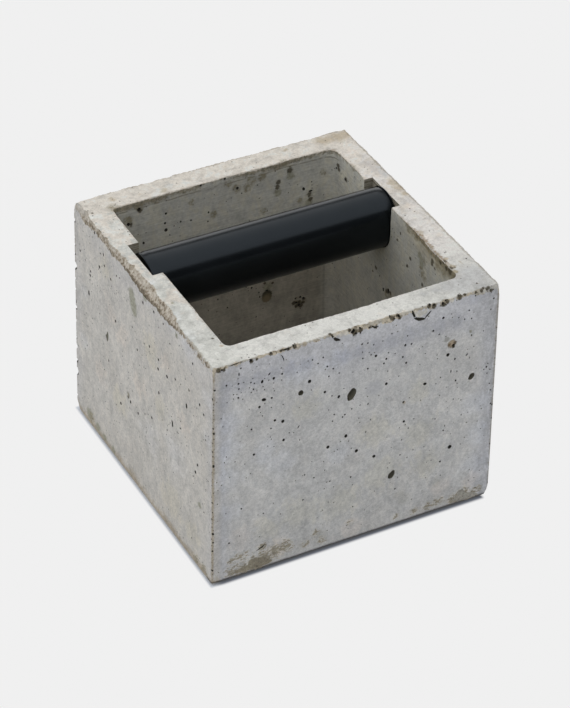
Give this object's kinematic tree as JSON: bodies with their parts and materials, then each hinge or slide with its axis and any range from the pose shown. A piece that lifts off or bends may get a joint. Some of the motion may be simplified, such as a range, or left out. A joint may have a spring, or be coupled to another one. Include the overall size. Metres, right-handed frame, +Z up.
{
  "type": "espresso knock box",
  "caption": "Open concrete box with a rubber-covered bar across it that lifts out, for knocking spent coffee out of a portafilter.",
  "frame": {"origin": "under the middle of the box, on the surface that its pads stand on", "axes": "+Z up, +X along the knock bar to the right, +Y to the back, so the front face looks along -Y and the bar lies behind the middle"},
  "size_m": [0.1532, 0.1554, 0.129],
  "materials": {
    "concrete": "matte",
    "sleeve_rubber": "satin",
    "tube_steel": "satin",
    "plug_plastic": "matte",
    "pad_rubber": "matte"
  },
  "bodies": {
    "box": {"concrete_body": "concrete", "foot_pad_front_left": "pad_rubber", "foot_pad_front_right": "pad_rubber", "foot_pad_back_left": "pad_rubber", "foot_pad_back_right": "pad_rubber"},
    "knock_bar": {"bar_sleeve": "sleeve_rubber", "bar_tube": "tube_steel", "bar_plug_left": "plug_plastic", "bar_plug_right": "plug_plastic"}
  },
  "joints": [
    {"name": "bar_lift", "type": "slide", "parent": "box", "child": "knock_bar", "axis": [0, 0, 1], "range_m": [0, 0.045]}
  ]
}
